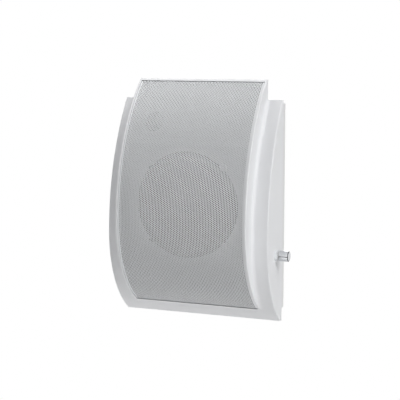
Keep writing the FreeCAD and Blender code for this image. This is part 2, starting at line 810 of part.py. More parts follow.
def hexagon(u, v, across):
    """Six corners of a hexagon that stands on a point."""
    radius = across / math.sqrt(3)
    turns = [math.radians(30 + 60 * number) for number in range(6)]
    return [(u + radius * math.cos(turn), v + radius * math.sin(turn)) for turn in turns]


def perforate(body, name, first, pitch, columns, rows):
    """A field of like holes, in columns and rows, that starts at its lowest left one."""
    sketch = new_sketch(body, name, "XZ_Plane", [hexagon(*first, s.hole_across)])
    hole = pocket(body, sketch, 2 * in_front, "Symmetric")
    axes = {feature.Role: feature for feature in body.Origin.OriginFeatures}
    field = body.newObject("PartDesign::LinearPattern", f"{name}_field")
    field.Originals = [hole]
    field.Direction = (axes["X_Axis"], [""])
    field.Direction2 = (axes["Z_Axis"], [""])
    field.Occurrences = columns
    field.Occurrences2 = rows
    field.setExpression("Length", ((columns - 1) * pitch[0]).formula)
    field.setExpression("Length2", ((rows - 1) * pitch[1]).formula)
    body.Tip = field


def grille():
    """A bowed sheet with a plain margin and a staggered field of holes."""
    body = new_body("grille")
    top = recess_top - s.grille_gap
    foot = recess_foot + s.grille_gap
    level = ("v", bezel_bow.level)
    sheet = bezel_bow.corners(top, foot, s.grille_recess)
    inner = bezel_bow.corners(top, foot, s.grille_recess + s.grille_sheet)
    sheet += [(*inner[2], level), inner[1], inner[0][:2]]
    width = s.bezel_width - 2 * (s.rim_width + s.grille_gap)
    pad(body, new_sketch(body, "grille_sheet", "YZ_Plane", [sheet]), width, "Symmetric")
    pitch_x = (width - 2 * s.hole_margin_x) / (GRILLE_COLUMNS - 1)
    pitch_z = (recess_top - recess_foot - 2 * s.hole_margin_z) / (GRILLE_ROWS - 1)
    pitch = pitch_x, pitch_z
    first = s.hole_margin_x - width / 2, recess_foot + s.hole_margin_z
    perforate(body, "holes", first, pitch, GRILLE_COLUMNS, GRILLE_ROWS)
    first = first[0] + pitch_x / 2, first[1] + pitch_z / 2
    perforate(body, "staggered_holes", first, pitch, GRILLE_COLUMNS - 1, GRILLE_ROWS - 1)


def driver_holes(diameter):
    return [Round(x, z, diameter) for x, z in driver_screw_places]


def driver_basket():
    """A pressed basket: flange, sloping legs between windows, spider ledge and base."""
    front = -flange_front
    ledge = front + s.spider_level
    base = front + s.basket_depth
    sheet = s.basket_sheet
    slope_shift = sheet / 2
    ledge_radius = s.spider_seat_dia / 2
    base_radius = s.basket_base_dia / 2
    body = turned("driver_basket", [
        (flange_radius, front),
        (throat, front),
        (ledge_radius, ledge),
        (base_radius, ledge),
        (base_radius, base),
        (gap_radius + sheet, base),
        (gap_radius + sheet, base + sheet),
        (base_radius + sheet, base + sheet),
        (base_radius + sheet, ledge + sheet),
        (ledge_radius + slope_shift, ledge + sheet),
        (throat + slope_shift, front + sheet),
        (flange_radius, front + sheet),
    ], z=driver_level)
    window_start = ledge_radius + s.window_margin
    window_end = throat - s.window_margin
    window = [
        (window_start, -s.window_inner_width / 2),
        (window_end, -s.window_outer_width / 2),
        (window_end, s.window_outer_width / 2),
        (window_start, s.window_inner_width / 2),
    ]
    cut = pocket(body, new_sketch(body, "basket_window", "XZ_Plane", [window]), 2 * in_front, "Symmetric")
    axes = {feature.Role: feature for feature in body.Origin.OriginFeatures}
    windows = body.newObject("PartDesign::PolarPattern", "basket_windows")
    windows.Originals = [cut]
    windows.Axis = (axes["Y_Axis"], [""])
    windows.Angle = 360
    windows.Occurrences = BASKET_WINDOWS
    body.Tip = windows
    holes = driver_holes(s.driver_screw_dia + 2 * s.fit_gap)
    pocket(body, new_sketch(body, "flange_holes", "XZ_Plane", holes), 2 * in_front, "Symmetric")


def ring(label, outer, inner, rear, thick, holes=()):
    """A flat ring about the driver's axis."""
    body = new_body(label, z=driver_level)
    shapes = [Round(0, 0, outer), Round(0, 0, inner), *holes]
    pad(body, new_sketch(body, f"{label}_outline", "XZ_Plane", shapes, lift=rear), thick)


def driver_magnet():
    """Gasket, top plate, magnet and the yoke with its pole."""
    holes = driver_holes(s.driver_screw_dia + 2 * s.fit_gap)
    ring("driver_gasket", 2 * flange_radius, 2 * baffle_radius, flange_front, s.gasket_thick, holes)
    ring("top_plate", s.top_plate_dia, 2 * gap_radius, magnet_front, s.top_plate_thick)
    ring("magnet", s.magnet_dia, s.magnet_bore, magnet_rear, s.magnet_thick)
    turned("pole_yoke", [
        (0, -yoke_rear),
        (s.yoke_dia / 2, -yoke_rear),
        (s.yoke_dia / 2, -magnet_rear),
        (s.pole_dia / 2, -magnet_rear),
        (s.pole_dia / 2, -basket_rear),
        (0, -basket_rear),
    ], z=driver_level)


def driver_cone():
    """The moving parts: cone, dust cap and voice coil."""
    slope = cone_rim - s.cone_lip
    turned("cone", [
        (cone_rim, cone_front),
        (slope, cone_front),
        (neck_radius, neck_front),
        (neck_radius, neck_front + s.cone_sheet),
        (slope, cone_front + s.cone_sheet),
        (cone_rim, cone_front + s.cone_sheet),
    ], z=driver_level)
    cap = s.dust_cap_dia / 2
    along = (cap - neck_radius) / (slope - neck_radius)
    cap_seat = neck_front - s.cone_depth * along - s.glue_gap
    turned("dust_cap", [
        (cap, cap_seat, ("u", 0)),
        (0, cap_seat - s.dust_cap_rise),
        (0, cap_seat - s.dust_cap_rise + s.cone_sheet, ("u", 0)),
        (cap - s.cone_sheet, cap_seat),
    ], z=driver_level)
    winding_middle = -(basket_rear - s.top_plate_thick / 2)
    winding_rear = winding_middle + s.winding_length / 2
    former = s.coil_dia / 2
    turned("voice_coil", [
        (former, neck_front),
        (former, winding_rear),
        (former + s.former_wall + s.winding_thick, winding_rear),
        (former + s.former_wall + s.winding_thick, winding_rear - s.winding_length),
        (former + s.former_wall, winding_rear - s.winding_length),
        (former + s.former_wall, neck_front),
    ], z=driver_level)


def driver_suspension():
    """The rolled surround at the cone's rim and the corrugated spider at its neck."""
    middle = (cone_rim + throat) / 2
    roll = s.roll_width / 2
    rear = -flange_front
    front = rear - s.roll_sheet
    thin = s.roll_sheet / 2
    turned("surround", [
        (throat + s.roll_rim, front),
        (throat, front, ("u", middle)),
        (middle, front - roll, ("u", middle)),
        (cone_rim, front),
        (cone_rim - s.cone_lip, front),
        (cone_rim - s.cone_lip, rear),
        (cone_rim + thin, rear, ("u", middle)),
        (middle, rear - roll + thin, ("u", middle)),
        (throat - thin, rear),
        (throat + s.roll_rim, rear),
    ], z=driver_level)
    inner = neck_radius
    outer = s.spider_seat_dia / 2
    ledge = rear + s.spider_level
    step = (outer - s.spider_rim - inner) / SPIDER_FOLDS
    waves = []
    for fold in range(SPIDER_FOLDS + 1):
        swing = fold % 2 * s.spider_wave
        waves.append((inner + fold * step, ledge - s.spider_sheet - swing))
    back = [(u, v + s.spider_sheet) for u, v in reversed(waves)]
    rim_corners = [(outer, ledge - s.spider_sheet), (outer, ledge)]
    turned("spider", waves + rim_corners + back, z=driver_level)


def driver_terminals():
    """A small strip riveted behind the flange, with two solder tabs."""
    body = new_body("driver_terminals", z=driver_level)
    rear = flange_front - s.basket_sheet - s.strip_thick
    level = -(flange_radius + throat) / 2
    strip = block(Size.of(0), level, s.strip_width, s.strip_height)
    pad(body, new_sketch(body, "strip", "XZ_Plane", [strip], lift=rear), s.strip_thick)
    tabs = [block(side * s.tab_spacing / 2, level, s.tab_width, s.tab_thick) for side in (-1, 1)]
    pad(body, new_sketch(body, "tabs", "XZ_Plane", tabs, lift=rear - s.tab_length), s.tab_length)


def transformer():
    """Core, coil and the strap that holds them on the plate's pad."""
    place = {"x": s.trafo_side, "z": s.trafo_height}
    base = s.plate_floor + s.trafo_pad
    leg = s.core_leg
    half = 3 * leg
    top = base + s.core_window + 2 * leg
    body = new_body("transformer_core", **place)
    outline = rectangle(-half, half, -top, -base)
    windows = [rectangle(left, left + leg, leg - top, -base - leg) for left in (leg, -2 * leg)]
    pad(body, new_sketch(body, "core_sheet", "XY_Plane", [outline, *windows]), s.core_stack, "Symmetric")
    body = new_body("transformer_coil", **place)
    gap = s.coil_clearance
    inner = block(Size.of(0), Size.of(0), 2 * (leg + gap), s.core_stack + 2 * gap)
    outer = block(Size.of(0), Size.of(0), 2 * (2 * leg - gap), s.core_stack + 2 * (gap + s.coil_wall))
    sketch = new_sketch(body, "coil_section", "XZ_Plane", [outer, inner], lift=base + leg + gap)
    pad(body, sketch, s.core_window - 2 * gap)
    body = new_body("transformer_bracket", **place)
    sheet = s.strap_sheet
    end = half + sheet + s.strap_foot
    right = [
        (half, -top),
        (half, -base),
        (end, -base),
        (end, -base - sheet),
        (half + sheet, -base - sheet),
        (half + sheet, -top - sheet),
    ]
    left = [(-u, v) for u, v in reversed(right)]
    pad(body, new_sketch(body, "strap", "XY_Plane", [right + left]), s.strap_width, "Symmetric")
    holes = [Round(x - s.trafo_side, 0, s.trafo_screw_dia + 2 * s.fit_gap) for x in trafo_screw_places]
    pocket(body, new_sketch(body, "strap_holes", "XZ_Plane", holes), 2 * (base + 2 * sheet), "Symmetric")


def along_knob(label):
    return new_body(label, y=-s.knob_depth, z=-s.knob_drop)


def attenuator():
    """The volume control: body with its bushing and solder lugs, shaft, washer and nut."""
    body = along_knob("attenuator_body")
    inside = half_wing - s.shell_wall
    rear = inside - s.control_length
    pad(body, new_sketch(body, "can", "YZ_Plane", [Round(0, 0, s.control_dia)], lift=rear), s.control_length)
    sketch = new_sketch(body, "bushing", "YZ_Plane", [Round(0, 0, s.bushing_dia)], lift=inside)
    pad(body, sketch, bushing_end - inside)
    bore = [Round(0, 0, s.shaft_dia + 2 * s.running_gap)]
    bore_depth = bushing_end - inside + s.control_length / 2
    pocket(body, new_sketch(body, "bushing_bore", "YZ_Plane", bore, lift=bushing_end), bore_depth)
    lugs = []
    for place in (-1, 0, 1):
        side = place * s.lug_spacing
        low = -s.control_dia / 2 - s.lug_length
        lugs.append(rectangle(side - s.lug_width / 2, side + s.lug_width / 2, low, -s.control_dia / 4))
        lugs.append(Round(side, low + s.lug_width / 2, s.lug_hole))
    pad(body, new_sketch(body, "lugs", "YZ_Plane", lugs, lift=inside - s.lug_setback), s.lug_sheet)
    body = along_knob("attenuator_shaft")
    start = bushing_end - bore_depth + s.fit_gap
    pad(body, new_sketch(body, "rod", "YZ_Plane", [Round(0, 0, s.shaft_dia)], lift=start), shaft_end - start)
    flat = [block(Size.of(0), -s.shaft_dia / 2, s.shaft_dia, 2 * s.shaft_flat)]
    pocket(body, new_sketch(body, "flat", "YZ_Plane", flat, lift=shaft_end), shaft_end - knob_start)
    body = along_knob("attenuator_washer")
    rounds = [Round(0, 0, s.washer_dia), Round(0, 0, s.bushing_dia + s.fit_gap)]
    pad(body, new_sketch(body, "washer", "YZ_Plane", rounds, lift=half_wing), s.washer_thick)
    body = along_knob("attenuator_nut")
    shapes = [hexagon(Size.of(0), Size.of(0), s.nut_across), Round(0, 0, s.bushing_dia + s.running_gap)]
    sketch = new_sketch(body, "nut", "YZ_Plane", shapes, lift=half_wing + s.washer_thick)
    pad(body, sketch, s.nut_thick)


def knob():
    """A turned metal knob with an index groove, held on the shaft's flat by a set screw."""
    radius = s.knob_dia / 2
    bore = s.shaft_dia / 2 + s.running_gap
    bore_end = shaft_end + s.fit_gap
    body = turned("knob", [
        (knob_start, bore),
        (knob_start, radius),
        (knob_end - s.knob_chamfer, radius),
        (knob_end, radius - s.knob_chamfer),
        (knob_end, 0),
        (bore_end, 0),
        (bore_end, bore),
    ], axis="H_Axis", y=-s.knob_depth, z=-s.knob_drop)
    middle = (knob_start + shaft_end) / 2
    hole = [Round(middle, 0, s.set_screw_dia + s.running_gap)]
    pocket(body, new_sketch(body, "set_screw_hole", "XY_Plane", hole), s.knob_dia)
    groove = [block(-radius, Size.of(0), 2 * s.index_groove, s.index_width)]
    pocket(body, new_sketch(body, "index_groove", "YZ_Plane", groove, lift=knob_end), s.knob_length)
    body = along_knob("knob_set_screw")
    tip = s.shaft_dia / 2 - s.shaft_flat + s.running_gap
    disc = [Round(middle, 0, s.set_screw_dia)]
    sketch = new_sketch(body, "set_screw", "XY_Plane", disc, lift=-tip - s.set_screw_length)
    pad(body, sketch, s.set_screw_length)
    socket = [hexagon(middle, Size.of(0), s.set_screw_dia / 2)]
    sketch = new_sketch(body, "set_screw_socket", "XY_Plane", socket, lift=-tip - s.set_screw_length)
    pocket(body, sketch, s.set_screw_length / 2, reverse=True)


def terminal_block():
    """A moulded block with wire bores below and clamp screws in wells above."""
    base = s.plate_floor + s.block_pad
    body = new_body("terminal_block", x=-s.block_side, z=block_level)
    outline = block(Size.of(0), Size.of(0), s.block_width, s.block_height)
    pad(body, new_sketch(body, "block_outline", "XZ_Plane", [outline], lift=base), s.block_depth)
    poles = [number * s.pole_pitch for number in (-1, 0, 1)]
    bores = [Round(pole, -base - s.wire_level, s.wire_bore) for pole in poles]
    pocket(body, new_sketch(body, "wire_bores", "XY_Plane", bores), 2 * s.block_height, "Symmetric")
    wells = [Round(pole, 0, s.clamp_screw_dia + 2 * s.fit_gap) for pole in poles]
    sketch = new_sketch(body, "clamp_wells", "XZ_Plane", wells, lift=base + s.block_depth)
    pocket(body, sketch, s.block_depth - s.wire_level)
    holes = [Round(x + s.block_side, 0, s.block_screw_dia + 2 * s.fit_gap) for x in block_screw_places]
    pocket(body, new_sketch(body, "block_holes", "XZ_Plane", holes), 2 * (base + 2 * s.block_depth), "Symmetric")
    top = base + s.block_depth - s.running_gap
    screws = []
    for pole in poles:
        foot = FreeCAD.Vector((pole - s.block_side).number, -top.number, block_level.number)
        axis = FreeCAD.Vector(0, 1, 0)
        body = Part.makeCylinder(s.clamp_screw_dia.number / 2, s.clamp_screw_length.number, foot, axis)
        slot_width = s.clamp_slot.number
        corner = foot + FreeCAD.Vector(-slot_width / 2, 0, -s.clamp_screw_dia.number)
        slot = Part.makeBox(slot_width, slot_width, 2 * s.clamp_screw_dia.number, corner)
        screws.append(body.cut(slot))
    group("terminal_clamp_screws", screws)


def cable_grommet():
    """A rubber grommet gripped in the plate's cable hole, flush with the wall."""
    flange = s.cable_hole / 2 + s.grommet_flange - s.fit_gap
    waist = s.cable_hole / 2 - s.fit_gap
    turned("cable_grommet", [
        (s.cable_bore / 2, -s.fit_gap),
        (flange, -s.fit_gap),
        (flange, -s.grommet_rear),
        (waist, -s.grommet_rear),
        (waist, -s.cable_boss_depth),
        (flange, -s.cable_boss_depth),
        (flange, -s.cable_boss_depth - s.grommet_rear),
        (s.cable_bore / 2, -s.cable_boss_depth - s.grommet_rear),
    ], z=cable_level)


def fasteners():
    """Screws of the driver, the transformer, the terminal block and the housing."""
    head = s.driver_head_dia, s.driver_head_height
    rear = -(flange_front - s.basket_sheet)
    group("driver_screws", [
        screw((x, rear, driver_level + z), (0, -1, 0), s.driver_screw_dia, s.driver_screw_length, *head)
        for x, z in driver_screw_places
    ])
    head = s.trafo_head_dia, s.trafo_head_height
    front = -(s.plate_floor + s.trafo_pad + s.strap_sheet)
    group("transformer_screws", [
        screw((x, front, s.trafo_height), (0, 1, 0), s.trafo_screw_dia, s.trafo_screw_length, *head)
        for x in trafo_screw_places
    ])
    front = -(s.plate_floor + s.block_pad + s.block_depth)
    length = s.block_depth + s.block_grip
    group("terminal_mount_screws", [
        screw((x, front, block_level), (0, 1, 0), s.block_screw_dia, length, *head)
        for x in block_screw_places
    ])
    head = s.lock_head_dia, s.lock_head_height
    seat = plate_bottom - s.fit_gap - s.lock_lug
    group("locking_screws", [
        screw((side * s.lock_spacing / 2, -s.lock_screw_depth, seat), (0, 0, 1),
              s.lock_screw_dia, s.lock_screw_length, *head)
        for side in (-1, 1)
    ])


def check_and_write():
    """Stops at a failed object or shape, then writes one file for each sub-part."""
    document.recompute()
    failed = [item.Name for item in document.Objects if {"Invalid", "Error"} & set(item.State)]
    for part in sub_parts:
        if part.Shape.isNull() or not part.Shape.isValid() or not part.Shape.Solids:
            failed.append(part.Label)
    if failed:
        raise RuntimeError("failed: " + ", ".join(failed))
    os.makedirs("parts", exist_ok=True)
    for part in sub_parts:
        part.Shape.exportStep(f"parts/{part.Label}.step")
        print(part.Label, len(part.Shape.Solids), round(part.Shape.Volume, 1))


front_housing()
wall_plate()
grille()
driver_basket()
driver_magnet()
driver_suspension()
driver_cone()
driver_terminals()
transformer()
attenuator()
knob()
terminal_block()
cable_grommet()
fasteners()
check_and_write()
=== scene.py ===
"""Wall speaker: finishes, finely perforated grille, flexing suspension and a plain studio.

Metres, +Z up. The wall is the plane Y = 0 and the front of the speaker looks towards -Y.
"""
import math

import bmesh
import bpy
from mathutils import Matrix, Vector
from mathutils.geometry import delaunay_2d_cdt


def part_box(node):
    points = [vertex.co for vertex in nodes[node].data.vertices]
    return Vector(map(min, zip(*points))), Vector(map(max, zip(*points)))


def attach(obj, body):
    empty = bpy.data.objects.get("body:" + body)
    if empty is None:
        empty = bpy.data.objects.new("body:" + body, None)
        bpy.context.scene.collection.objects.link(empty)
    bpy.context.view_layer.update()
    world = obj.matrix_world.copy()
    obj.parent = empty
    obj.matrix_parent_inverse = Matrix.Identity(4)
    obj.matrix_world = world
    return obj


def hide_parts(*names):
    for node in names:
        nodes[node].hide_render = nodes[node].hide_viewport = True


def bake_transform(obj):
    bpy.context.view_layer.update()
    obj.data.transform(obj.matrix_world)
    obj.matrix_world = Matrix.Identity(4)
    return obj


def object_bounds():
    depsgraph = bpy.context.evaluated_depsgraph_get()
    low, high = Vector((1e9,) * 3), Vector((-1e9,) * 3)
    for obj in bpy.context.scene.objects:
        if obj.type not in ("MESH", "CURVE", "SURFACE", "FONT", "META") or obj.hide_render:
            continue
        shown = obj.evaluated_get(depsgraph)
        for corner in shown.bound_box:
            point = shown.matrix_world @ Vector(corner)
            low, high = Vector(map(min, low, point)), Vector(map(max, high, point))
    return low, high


MM = 0.001
# Distance below which two places count as one
TOUCH = 0.01 * MM
# Edges that turn by more than this stay sharp
SHARP_ANGLE = math.radians(35)
# Part of a pattern's range over which a finish changes
PATTERN_LOW = 0.3
PATTERN_HIGH = 0.7

# Camera
CAMERA_PLACE = Vector((459.0, -1213.9, 182.2)) * MM
CAMERA_TARGET = Vector((-5.9, -2.8, -3.6)) * MM
CAMERA_LENS = 100.92
SENSOR_WIDTH = 36.0

# Perforated sheet of the grille
HOLE_PITCH = 2.1 * MM
COLUMN_PITCH = 1.81 * MM
# Punched holes are wider at the back
HOLE_RADIUS = 0.72 * MM
BACK_RADIUS = 0.88 * MM
HOLE_SIDES = 6
# Points of the flat sheet closer together than this are one
MERGE = HOLE_RADIUS / 1000
PLAIN_MARGIN = 0.9 * MM
EDGE_STEP = 2.0 * MM
GRILLE_STRIPS = 3
# Depth of the white coat below the front, beyond which the holes and back get painted shade; how far the
# white reaches round the sheet's rim; and the ledge the sheet lies on
COAT = 0.05 * MM
COAT_WRAP = 0.3 * MM
LEDGE = 3.2 * MM

# Painted shade: near-black at the edges of the holes in the baffle behind the grille
GASKET_WIDTH = 5.5 * MM
PORT_CENTRE = Vector((-45, 0, 90)) * MM
PORT_RADIUS = 10 * MM
SHADE_LAP = 0.6 * MM
# Faces whose normal points to the wall by more than this stay white
WALL_FACING = 0.1

# Marks on the knob: the index line, and a painted dark reflection on the chamfer
INDEX_WIDTH = 1.0 * MM
INDEX_DEPTH = 0.8 * MM
CHAMFER = 0.78 * MM

# Suspension of the driver; surfaces that meet within the weld distance are joined before the cut
SUSPENSION_SECTORS = 12
WELD = 0.0001 * MM

# Studio
FLOOR_DROP = 0.45
FLOOR_HALF = 6.0
FLOOR_SEGMENTS = 8
FLOOR_GREY = 226
WHITE = (1.0, 1.0, 1.0)
# Name, place, size and power of each square lamp; all of them face the speaker
LAMPS = (
    ("key_lamp", (1.5, -0.9, 1.5), 1.2, 23.0),
    ("right_lamp", (1.8, -0.5, 0.3), 1.5, 10.0),
    ("left_lamp", (-1.0, -0.2, 1.5), 1.0, 13.4),
    ("top_lamp", (0.0, 0.5, 1.7), 1.4, 9.0),
    ("back_lamp", (-0.5, 1.8, 0.4), 1.2, 14.0),
    ("floor_glow", (0.0, -0.9, -0.55), 1.2, 4.0),
)

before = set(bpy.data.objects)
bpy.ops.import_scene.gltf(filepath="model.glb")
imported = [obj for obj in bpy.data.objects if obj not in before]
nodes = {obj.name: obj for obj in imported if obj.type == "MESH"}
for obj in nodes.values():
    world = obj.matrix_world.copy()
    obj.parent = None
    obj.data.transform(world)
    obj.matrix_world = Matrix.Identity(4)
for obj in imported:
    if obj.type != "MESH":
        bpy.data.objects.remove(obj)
cad_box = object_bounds()


def srgb(red, green, blue):
    """Linear colour from the 0 to 255 values of a screen colour."""
    def linear(value):
        share = value / 255
        return share / 12.92 if share <= 0.04045 else ((share + 0.055) / 1.055) ** 2.4
    return linear(red), linear(green), linear(blue)


def middle(node):
    """Middle of a node's box."""
    low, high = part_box(node)
    return (Vector(low) + Vector(high)) / 2


def half_width(node):
    """Half of a node's size across the speaker."""
    low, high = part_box(node)
    return (high[0] - low[0]) / 2


def add_object(name, data):
    item = bpy.data.objects.new(name, data)
    bpy.context.collection.objects.link(item)
    return item


def smooth_by_angle(mesh):
    for polygon in mesh.polygons:
        polygon.use_smooth = True
    mesh.set_sharp_from_angle(angle=SHARP_ANGLE)


class Finish:
    """A procedural material whose patterns have real sizes, in metres on the object."""

    def __init__(self, name, colour, roughness, metallic=0.0):
        self.material = bpy.data.materials.new(name)
        self.material.use_nodes = True
        self.tree = self.material.node_tree
        self.shader = self.tree.nodes["Principled BSDF"]
        self.shader.inputs["Base Color"].default_value = (*colour, 1)
        self.shader.inputs["Roughness"].default_value = roughness
        self.shader.inputs["Metallic"].default_value = metallic
        self.place = self.add("ShaderNodeTexCoord").outputs["Object"]

    def add(self, kind, inputs=None, **settings):
        """A new node whose inputs are values or other nodes' outputs."""
        node = self.tree.nodes.new(kind)
        for name, value in settings.items():
            setattr(node, name, value)
        for name, value in (inputs or {}).items():
            if isinstance(value, bpy.types.NodeSocket):
                self.tree.links.new(value, node.inputs[name])
            else:
                node.inputs[name].default_value = value
        return node

    def link(self, output, socket):
        self.tree.links.new(output, self.shader.inputs[socket])

    def stretched(self, factors, centre=(0, 0, 0)):
        """Object coordinates about a centre, scaled along each axis."""
        offset = [-factor * value for factor, value in zip(factors, centre)]
        inputs = {"Vector": self.place, "Scale": factors, "Location": offset}
        return self.add("ShaderNodeMapping", inputs).outputs["Vector"]

    def noise(self, size, detail=2.0, place=None):
        """Soft random pattern with features of a size."""
        inputs = {"Vector": place or self.place, "Scale": 1 / size, "Detail": detail}
        return self.add("ShaderNodeTexNoise", inputs).outputs["Fac"]

    def wave(self, size, place, **settings):
        """Even waves of a length; at a scale of 1 the node's waves are pi / 10 long."""
        inputs = {"Vector": place, "Scale": math.pi / (10 * size)}
        return self.add("ShaderNodeTexWave", inputs, wave_profile="SIN", **settings).outputs["Fac"]

    def bands(self, size, direction):
        """Even bands that follow each other along an axis."""
        return self.wave(size, self.place, wave_type="BANDS", bands_direction=direction)

    def rings(self, size, direction, centre):
        """Even rings about an axis through a centre."""
        place = self.stretched((1, 1, 1), centre)
        return self.wave(size, place, wave_type="RINGS", rings_direction=direction)

    def times(self, first, second):
        return self.add("ShaderNodeMath", {0: first, 1: second}, operation="MULTIPLY").outputs["Value"]

    def colours(self, factor, first, second):
        """Base colour that changes from one tone to another with a pattern."""
        ramp = self.add("ShaderNodeValToRGB", {"Fac": factor})
        ends = ramp.color_ramp.elements
        ends[0].position = PATTERN_LOW
        ends[1].position = PATTERN_HIGH
        ends[0].color = (*first, 1)
        ends[1].color = (*second, 1)
        self.link(ramp.outputs["Color"], "Base Color")

    def within(self, low, high):
        """1 inside a box of the object's coordinates, 0 outside it."""
        place = self.add("ShaderNodeSeparateXYZ", {"Vector": self.place})
        inside = 1.0
        for axis, least, most in zip("XYZ", low, high):
            for operation, bound in (("GREATER_THAN", least), ("LESS_THAN", most)):
                inputs = {0: place.outputs[axis], 1: bound}
                test = self.add("ShaderNodeMath", inputs, operation=operation)
                inside = self.times(test.outputs["Value"], inside)
        return inside

    def not_facing_wall(self):
        """1 on faces that look towards the front or sideways."""
        normal = self.add("ShaderNodeNewGeometry").outputs["Normal"]
        back = self.add("ShaderNodeSeparateXYZ", {"Vector": normal}).outputs["Y"]
        return self.add("ShaderNodeMath", {0: back, 1: WALL_FACING}, operation="LESS_THAN").outputs["Value"]

    def near_axis(self, centre, radius, across=(1, 0, 1)):
        """1 within a radius of a line through a centre; across names the directions that count."""
        offset = self.stretched(across, centre)
        away = self.add("ShaderNodeVectorMath", {0: offset}, operation="LENGTH").outputs["Value"]
        return self.add("ShaderNodeMath", {0: away, 1: radius}, operation="LESS_THAN").outputs["Value"]

    def painted(self, mask, colour):
        """Covers the base colour with another colour where the mask is 1; this serves for the index line
        and for painted shade and painted reflection.
        """
        base = self.shader.inputs["Base Color"].links[0].from_socket
        # Inputs 6 and 7 and output 2 are the Mix node's colours
        mix = self.add("ShaderNodeMix", {0: mask, 6: base, 7: (*colour, 1)}, data_type="RGBA")
        self.link(mix.outputs[2], "Base Color")

    def roughness(self, factor, low, high):
        """Roughness that changes between two values with a pattern."""
        inputs = {"Value": factor, "From Min": PATTERN_LOW, "From Max": PATTERN_HIGH}
        inputs |= {"To Min": low, "To Max": high}
        self.link(self.add("ShaderNodeMapRange", inputs).outputs["Result"], "Roughness")

    def relief(self, factor, height, strength=1.0):
        """Raised and sunk detail of a height."""
        inputs = {"Height": factor, "Distance": height, "Strength": strength}
        self.link(self.add("ShaderNodeBump", inputs).outputs["Normal"], "Normal")


class Bow:
    """A bowed sheet, read from its node: two arcs that meet, parallel to the wall, at the bulge."""

    def __init__(self, node):
        points = [vertex.co for vertex in nodes[node].data.vertices]
        low, high = (Vector(corner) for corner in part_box(node))
        self.half_width = high.x
        self.front = low.y
        self.level = next(point.z for point in points if point.y - low.y < TOUCH)
        top_edge = [point.y for point in points if high.z - point.z < TOUCH]
        foot_edge = [point.y for point in points if point.z - low.z < TOUCH]
        self.upper = self.radius(min(top_edge) - low.y, high.z - self.level)
        self.lower = self.radius(min(foot_edge) - low.y, self.level - low.z)
        top_turn = math.asin((high.z - self.level) / self.upper)
        foot_turn = math.asin((self.level - low.z) / self.lower)
        self.top_reach = self.upper * top_turn
        self.foot_reach = -self.lower * foot_turn
        self.thickness = (max(top_edge) - min(top_edge)) * math.cos(top_turn)

    @staticmethod
    def radius(rise, reach):
        return (reach * reach + rise * rise) / (2 * rise)

    def point(self, across, along, inset):
        """Point at a width and a length along the arcs, moved inwards from the front."""
        arc = self.upper if along > 0 else self.lower
        turn = along / arc
        inner = arc - inset
        y = self.front + arc - inner * math.cos(turn)
        return Vector((across, y, self.level + inner * math.sin(turn)))


def shaded(colour, share):
    return tuple(value * share for value in colour)


def moulded_white(name, colour):
    """Satin white plastic with a fine eroded grain."""
    finish = Finish(name, colour, 0.42)
    finish.colours(finish.noise(70 * MM), shaded(colour, 0.985), colour)
    finish.roughness(finish.noise(9 * MM), 0.38, 0.46)
    finish.relief(finish.noise(0.45 * MM, 3.0), 0.012 * MM, 0.5)
    return finish


def housing_plastic(name, colour, hole_shade):
    """The white moulding, with near-black painted shade at the edges of the holes in the baffle behind the
    grille.
    """
    finish = moulded_white(name, colour)
    low, high = (Vector(corner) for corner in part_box("grille"))
    margin = Vector((1, 0, 1)) * LEDGE
    depth = Vector((0, high.y - low.y, 0))
    opening = finish.within(low + margin - depth, high - margin + depth)
    front = finish.times(opening, finish.not_facing_wall())
    driver_hole = half_width("driver_gasket") - GASKET_WIDTH + SHADE_LAP
    # Painted shade: near-black round the driver's opening and the port, reaching a little past their edges
    finish.painted(finish.times(front, finish.near_axis(middle("driver_gasket"), driver_hole)), hole_shade)
    finish.painted(finish.times(front, finish.near_axis(PORT_CENTRE, PORT_RADIUS + SHADE_LAP)), hole_shade)
    return finish.material


def coated_sheet(name, colour, edge_shade):
    """White coat with slight orange peel on the grille's front and rim; a darker grey on the punched edges
    and back is painted shade.
    """
    bow = Bow("grille")
    low, high = (Vector(corner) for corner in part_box("grille"))
    inside = Vector((COAT_WRAP, -MM, COAT_WRAP))
    low += inside
    high -= inside
    finish = Finish(name, colour, 0.42)
    finish.colours(finish.noise(40 * MM), shaded(colour, 0.97), colour)
    finish.roughness(finish.noise(4 * MM), 0.38, 0.46)
    finish.relief(finish.noise(0.8 * MM), 0.006 * MM, 0.3)
    for arc, foot, top in ((bow.lower, low.z, bow.level), (bow.upper, bow.level, high.z)):
        part = finish.within((low.x, low.y, foot), (high.x, high.y, top))
        # Painted shade: darker grey on the hole walls and the back, deeper than the coat
        edge_shade_mask = finish.near_axis((0, bow.front + arc, bow.level), arc - COAT, (0, 1, 1))
        finish.painted(finish.times(part, edge_shade_mask), edge_shade)
    return finish.material


def dark_paint(name, colour):
    finish = Finish(name, colour, 0.35)
    finish.colours(finish.noise(6 * MM), colour, shaded(colour, 1.35))
    finish.relief(finish.noise(0.9 * MM), 0.03 * MM, 0.6)
    return finish.material


def rubber(name, colour, grain):
    finish = Finish(name, colour, 0.6)
    finish.colours(finish.noise(12 * MM), colour, shaded(colour, 1.5))
    finish.roughness(finish.noise(3 * MM), 0.5, 0.72)
    finish.relief(finish.noise(grain, 4.0), 0.03 * MM, 0.6)
    return finish.material


def pressed_paper(name, colour, centre):
    """Cone paper: loose fibres and shallow pressed rings."""
    finish = Finish(name, colour, 0.75)
    fibres = finish.noise(0.9 * MM, 6.0, finish.stretched((1, 1, 0.35), centre))
    finish.colours(fibres, shaded(colour, 0.7), shaded(colour, 1.5))
    finish.relief(finish.times(fibres, finish.rings(4 * MM, "Y", centre)), 0.12 * MM, 0.7)
    return finish.material


